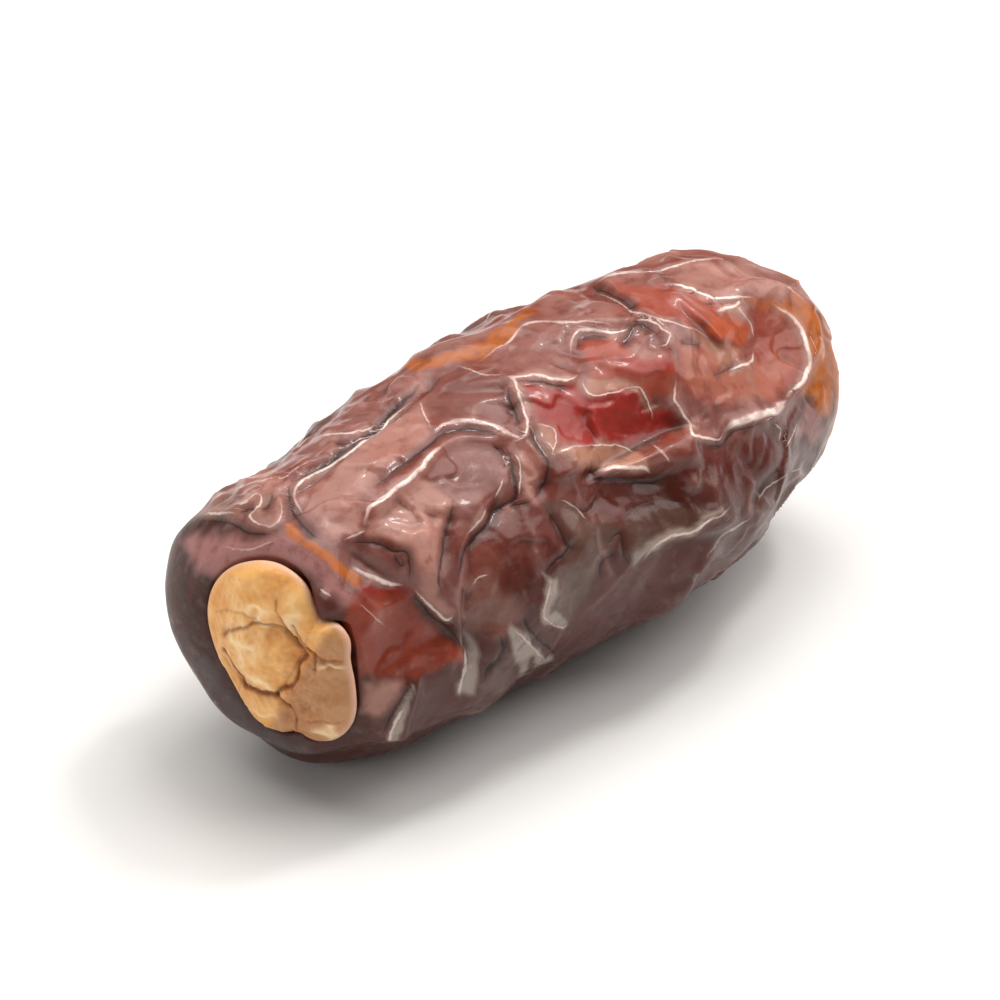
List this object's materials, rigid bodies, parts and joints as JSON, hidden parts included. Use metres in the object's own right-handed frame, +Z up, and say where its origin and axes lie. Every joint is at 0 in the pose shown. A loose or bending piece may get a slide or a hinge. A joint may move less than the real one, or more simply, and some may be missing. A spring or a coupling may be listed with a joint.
{
  "type": "piarom date",
  "caption": "Dried piarom date lying on its side: a long dark red-brown fruit with deeply folded glossy skin and a tan calyx at the stem end.",
  "frame": {"origin": "Under the middle of the whole date, on the surface that it rests on.", "axes": "+X runs from the stem end to the tip, +Z is up, and -Y is the side with the deep folds and the thin red skin."},
  "size_m": [0.0472, 0.0214, 0.0203],
  "materials": {
    "date_skin": "dark red-brown wrinkled skin with a waxy gloss, redder where it is thin and amber at the tip",
    "calyx": "dry tan papery husk, matt, with darker creases between its lobes"
  },
  "bodies": {
    "root": {"fruit": "date_skin", "calyx": "calyx"}
  },
  "joints": []
}
